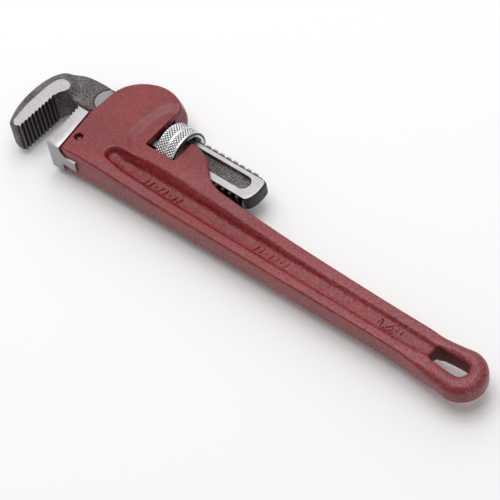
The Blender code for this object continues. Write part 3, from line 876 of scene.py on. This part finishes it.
def nutRing(n):
    low, high, radius, bore, chamfer = (n[k] for k in ("low", "high", "radius", "bore", "chamfer"))
    width = high - low - 2 * chamfer
    outer = [(low + chamfer + width * i / n["rings"], radius) for i in range(n["rings"] + 1)]
    section = [(low, radius - chamfer), (low + 0.25, radius - 0.3)] + outer
    section += [(high - 0.25, radius - 0.3), (high, radius - chamfer), (high, bore + 1.0),
                (high - 0.25, bore + 0.3), (high - 0.9, bore), (low + 0.9, bore),
                (low + 0.25, bore + 0.3), (low, bore + 1.0)]
    rows, points, faces = len(section), [], []
    for i in range(n["around"]):
        turn = 2 * math.pi * i / n["around"]
        points += [(x, hook["shankY"] + r * math.cos(turn), r * math.sin(turn)) for x, r in section]
    for i in range(n["around"]):
        j = (i + 1) % n["around"]
        for k in range(rows):
            m = (k + 1) % rows
            faces.append((i * rows + k, i * rows + m, j * rows + m, j * rows + k))
    return meshFrom("adjustingNut", points, faces)


def knurlTree():
    tree, given = newGeometryTree("diamondKnurl", {
        "Starts": 46, "Lead": 2.05, "Depth": 0.34, "Band Low": 43.0, "Gap Low": 47.9,
        "Gap High": 49.3, "Band High": 53.6, "Height": 39.4, "Radius": 13.6})
    x, y, z = inMillimetres(tree, pointPlace(tree))
    rise = calc(tree, "SUBTRACT", y, given["Height"])
    radius = shankRadius(tree, rise, z)
    turn = calc(tree, "DIVIDE", calc(tree, "ARCTAN2", z, rise), 2 * math.pi)
    turn = calc(tree, "MULTIPLY", turn, given["Starts"])
    along = calc(tree, "DIVIDE", x, given["Lead"])
    grooves = []
    for operation in ("ADD", "SUBTRACT"):
        phase = calc(tree, "ADD", calc(tree, operation, turn, along), 200.0)  # never below 0
        off = calc(tree, "ABSOLUTE", calc(tree, "SUBTRACT", calc(tree, "FRACT", phase), 0.5))
        grooves.append(easeRange(tree, calc(tree, "MULTIPLY", off, 2.0), 0.45, 1.0))
    groove = calc(tree, "MAXIMUM", *grooves)
    bands = []
    for low, high in (("Band Low", "Gap Low"), ("Gap High", "Band High")):
        up = easeRange(tree, calc(tree, "SUBTRACT", x, given[low]), -0.15, 0.15)
        down = easeRange(tree, calc(tree, "SUBTRACT", given[high], x), -0.15, 0.15)
        bands.append(calc(tree, "MULTIPLY", up, down))
    skin = calc(tree, "GREATER_THAN", radius, calc(tree, "SUBTRACT", given["Radius"], 0.05))
    cut = calc(tree, "MULTIPLY", calc(tree, "MULTIPLY", groove, calc(tree, "MAXIMUM", *bands)),
               calc(tree, "MULTIPLY", skin, given["Depth"]))
    share = calc(tree, "DIVIDE", cut, radius)
    inward = putTogether(tree, 0.0, product(tree, rise, share, -mm), product(tree, z, share, -mm))
    closeTree(tree, placed(tree, given["Geometry"], Offset=inward), given["Finish"])
    return tree


def makeNut(n, look):
    piece = nutRing(n)
    growWith(piece, knurlTree(), {
        "Starts": n["starts"], "Lead": n["lead"], "Depth": n["depth"], "Band Low": n["bandLow"],
        "Gap Low": n["gapLow"], "Gap High": n["gapHigh"], "Band High": n["bandHigh"],
        "Height": hook["shankY"], "Radius": n["radius"]}, look)
    return shade(piece, look, 40)


heel = {
    "merge": 0.01,
    "flat": 2,              # degrees, faces closer than this are one
    "edge": 0.14,           # bevel on its edges
    "corner": 32,
}


def makeHeel(h, look):
    piece = bpy.data.objects.new("heelJaw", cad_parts["heel_jaw"].data.copy())
    bpy.context.scene.collection.objects.link(piece)
    shape = bmesh.new()
    shape.from_mesh(piece.data)
    bmesh.ops.remove_doubles(shape, verts=shape.verts, dist=h["merge"] * mm)
    bmesh.ops.dissolve_limit(shape, angle_limit=math.radians(h["flat"]), verts=shape.verts,
                             edges=shape.edges)
    shape.to_mesh(piece.data)
    shape.free()
    bevel = piece.modifiers.new("edges", "BEVEL")
    bevel.width = h["edge"] * mm
    bevel.segments = 2
    bevel.limit_method = "ANGLE"
    bevel.angle_limit = math.radians(h["corner"])
    settle(piece)
    return shade(piece, look, 30)


def turned(name, section, centre, sides):  # a section (radius, height) spun about Z
    points, faces = [], []
    rows = len(section)
    for i in range(sides):
        turn = 2 * math.pi * i / sides
        points += [(centre[0] + r * math.cos(turn), centre[1] + r * math.sin(turn), h)
                   for r, h in section]
    for i in range(sides):
        a, b = i * rows, (i + 1) % sides * rows
        faces += [(a + k, b + k, b + k + 1, a + k + 1) for k in range(rows - 1)]
    faces.append([i * rows for i in range(sides)][::-1])
    faces.append([i * rows + rows - 1 for i in range(sides)])
    return meshFrom(name, points, faces)


pin = {"radius": 1.98, "half": 8.9, "sides": 48}


def makePin(p, look):
    r, h = p["radius"], p["half"]
    upper = [(r, h - 0.9), (r - 0.25, h - 0.45), (r - 0.75, h - 0.12), (0.55, h), (0.4, h - 0.35)]
    section = [(a, -b) for a, b in reversed(upper)] + upper
    return shade(turned("heelPin", section, pinSpot, p["sides"]), look, 35)


marks = {
    "height": 0.8,
    "stroke": 0.55,
    "sides": 10,            # of a stroke's round end
    "pitch": 3.3,           # from one foundry mark to the next
    "sizeWeb": 4.2,         # the web under the size numerals
    "rows": ((49.5, 8, 11.2, 2.75), (125.5, 7, 10.6, 2.97)),    # start, count, y and web
}


def markStrokes(m):  # the size and two rows of plain foundry marks
    size = [[(205.3, 11.9), (206.5, 13.1), (207.3, 7.9)],
            [(212.7, 13.7), (209.5, 9.7), (214.8, 9.7)],
            [(213.3, 11.7), (213.3, 7.9)],
            [(216.2, 13.4), (216.0, 12.1)],
            [(219.1, 13.2), (218.9, 11.9)]]
    strokes = [(path, m["sizeWeb"]) for path in size]
    for first, count, low, web in m["rows"]:
        for i in range(count):
            x = first + m["pitch"] * i
            dot = [(x, low + 1.5), (x + 0.1, low + 1.5)]
            bar = [(x - 0.5, low + 0.1), (x + 0.5, low + 2.9)]
            strokes.append((dot if i % 3 == 2 else bar, web))
    return strokes


def makeMarks(m, look):
    layers = ((-0.8, m["stroke"] + 0.2), (m["height"] * 0.7, m["stroke"]),
              (m["height"], m["stroke"] - 0.16))
    points, faces = [], []
    for stroke, web in markStrokes(m):
        for a, b in zip(stroke, stroke[1:]):
            a, b = Vector(a), Vector(b)
            along = (b - a).normalized()
            across = Vector((-along.y, along.x))
            rim = []
            for end, start in ((b, -90), (a, 90)):
                for k in range(m["sides"] + 1):
                    t = math.radians(start + 180 * k / m["sides"])
                    rim.append((end, along * math.cos(t) + across * math.sin(t)))
            first = len(points)
            count = len(rim)
            for height, reach in layers:
                points += [(end.x + out.x * reach, end.y + out.y * reach, web + height)
                           for end, out in rim]
            for base in (first, first + count):
                faces += [(base + k, base + (k + 1) % count, base + count + (k + 1) % count,
                           base + count + k) for k in range(count)]
            faces.append([first + k for k in range(count)][::-1])
            faces.append([first + 2 * count + k for k in range(count)])
    return shade(meshFrom("castMarks", points, faces), look, 50)


metals = {
    "groundSteel": {
        "dark": (0.37, 0.355, 0.36), "light": (0.54, 0.525, 0.53), "roughness": 0.36,
        "grain": 2400.0, "stretch": (1.0, 0.07, 1.0), "depth": 0.00006,
        "sawn": 0.35,           # below this height in Y it is left as sawn
    },
    "platedSteel": {
        "dark": (0.70, 0.71, 0.71), "light": (0.88, 0.89, 0.885), "roughness": 0.30,
        "grain": 800.0, "stretch": (1.0, 1.0, 1.0), "depth": 0.00003,
        "grooveShade": (nut["radius"] - nut["depth"], nut["radius"] - 0.08),   # radii between which the knurl grooves get painted shade
    },
    "oiledSteel": {
        "dark": (0.03, 0.026, 0.025), "light": (0.10, 0.09, 0.088), "roughness": 0.35,
        "grain": 900.0, "stretch": (1.0, 1.0, 1.0), "depth": 0.00005,
    },
    "springSteel": {
        "dark": (0.10, 0.105, 0.12), "light": (0.22, 0.225, 0.24), "roughness": 0.34,
        "grain": 900.0, "stretch": (1.0, 0.2, 1.0), "depth": 0.00004,
    },
}
enamel = paintEnamel()
forged = forgedFinish(hook)
ground, plated, oiled, blued = (metalFinish(name, metal) for name, metal in metals.items())

handlePiece = makeCasting(casting, enamel)
print("casting", len(handlePiece.data.polygons), "faces")
hookPiece = makeHook(hook, forged)
print("hook jaw", len(hookPiece.data.polygons), "faces")
nutPiece = makeNut(nut, plated)
heelPiece = makeHeel(heel, ground)
pinPiece = makePin(pin, oiled)
markPiece = makeMarks(marks, enamel)
print("nut, heel jaw, pin and marks made")

for node in ("flat_spring", "coil_spring", "spring_rivet"):
    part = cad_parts[node]
    part.data.materials.clear()
    part.data.materials.append(blued)

for piece, body, node, slot in ((handlePiece, "handle", "handle", "red_enamel"),
                                (markPiece, "handle", None, "red_enamel"),
                                (heelPiece, "handle", "heel_jaw", "ground_steel"),
                                (pinPiece, "handle", "heel_jaw_pin", "dark_steel"),
                                (hookPiece, "hook_jaw", "hook_jaw", "forged_steel"),
                                (nutPiece, "adjusting_nut", "adjusting_nut", "plated_steel")):
    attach(piece, body)
    if node:
        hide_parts(node)


stage = {
    "floorHalf": 2.5,
    "floorHeight": -0.0005,
    "floorColor": (0.95, 0.95, 0.95),
    "ambient": 0.42,
    "lights": {             # place, size and power
        "backSoftbox": ((-0.68, 0.56, 1.10), 1.9, 9.0),
        "overhead": ((-0.10, 0.05, 1.60), 1.3, 12.0),
    },
}


def addLight(name, place, size, power):  # aimed at the wrench's middle
    data = bpy.data.lights.new(name, "AREA")
    data.shape = "SQUARE"
    data.size = size
    data.energy = power
    light = bpy.data.objects.new(name, data)
    bpy.context.scene.collection.objects.link(light)
    light.location = place
    light.rotation_euler = (-Vector(place)).to_track_quat("-Z", "Y").to_euler()


def makeStage(s):
    half, height = s["floorHalf"], s["floorHeight"]
    corners = [(-half, -half, height), (half, -half, height), (half, half, height),
               (-half, half, height)]
    mesh = bpy.data.meshes.new("floor")
    mesh.from_pydata(corners, [], [(0, 1, 2, 3)])
    floor = bpy.data.objects.new("floor", mesh)
    bpy.context.scene.collection.objects.link(floor)
    pale = newFinish("paleFloor", {"Roughness": 0.9, "Specular IOR Level": 0.1,
                                   "Base Color": (*s["floorColor"], 1.0)})[0]
    floor.data.materials.append(pale)
    world = bpy.data.worlds.new("studio")
    world.use_nodes = True
    background = world.node_tree.nodes["Background"].inputs
    background["Color"].default_value = (1.0, 1.0, 1.0, 1.0)
    background["Strength"].default_value = s["ambient"]
    bpy.context.scene.world = world
    for name, settings in s["lights"].items():
        addLight(name, *settings)
    bpy.context.scene.view_settings.view_transform = "Standard"


camera = {
    "azimuth": 50.634,
    "elevation": 52.1,
    "roll": 12.9,
    "distance": 1.253344,
    "lens": 180.0,
    "sensor": 36.0,
    "target": (127.617, 5.876, 10.0),
}


def makeCamera(c):
    azimuth, elevation, roll = (math.radians(c[k]) for k in ("azimuth", "elevation", "roll"))
    back = Vector((math.sin(azimuth) * math.cos(elevation),
                   -math.cos(azimuth) * math.cos(elevation), math.sin(elevation)))
    level = Vector((math.cos(azimuth), math.sin(azimuth), 0.0))
    up = back.cross(level) * math.cos(roll) + level * math.sin(roll)
    right = up.cross(back)
    data = bpy.data.cameras.new("camera")
    data.lens = c["lens"]
    data.sensor_width = c["sensor"]
    data.clip_start = 0.05
    data.clip_end = 20.0
    made = bpy.data.objects.new("camera", data)
    bpy.context.scene.collection.objects.link(made)
    spot = datum + Vector(c["target"]) * mm + back * c["distance"]
    turn = Matrix((right, up, back)).transposed().to_4x4()
    made.matrix_world = Matrix.Translation(spot) @ turn
    bpy.context.scene.camera = made


makeStage(stage)
makeCamera(camera)
print("floor, lights and camera set")
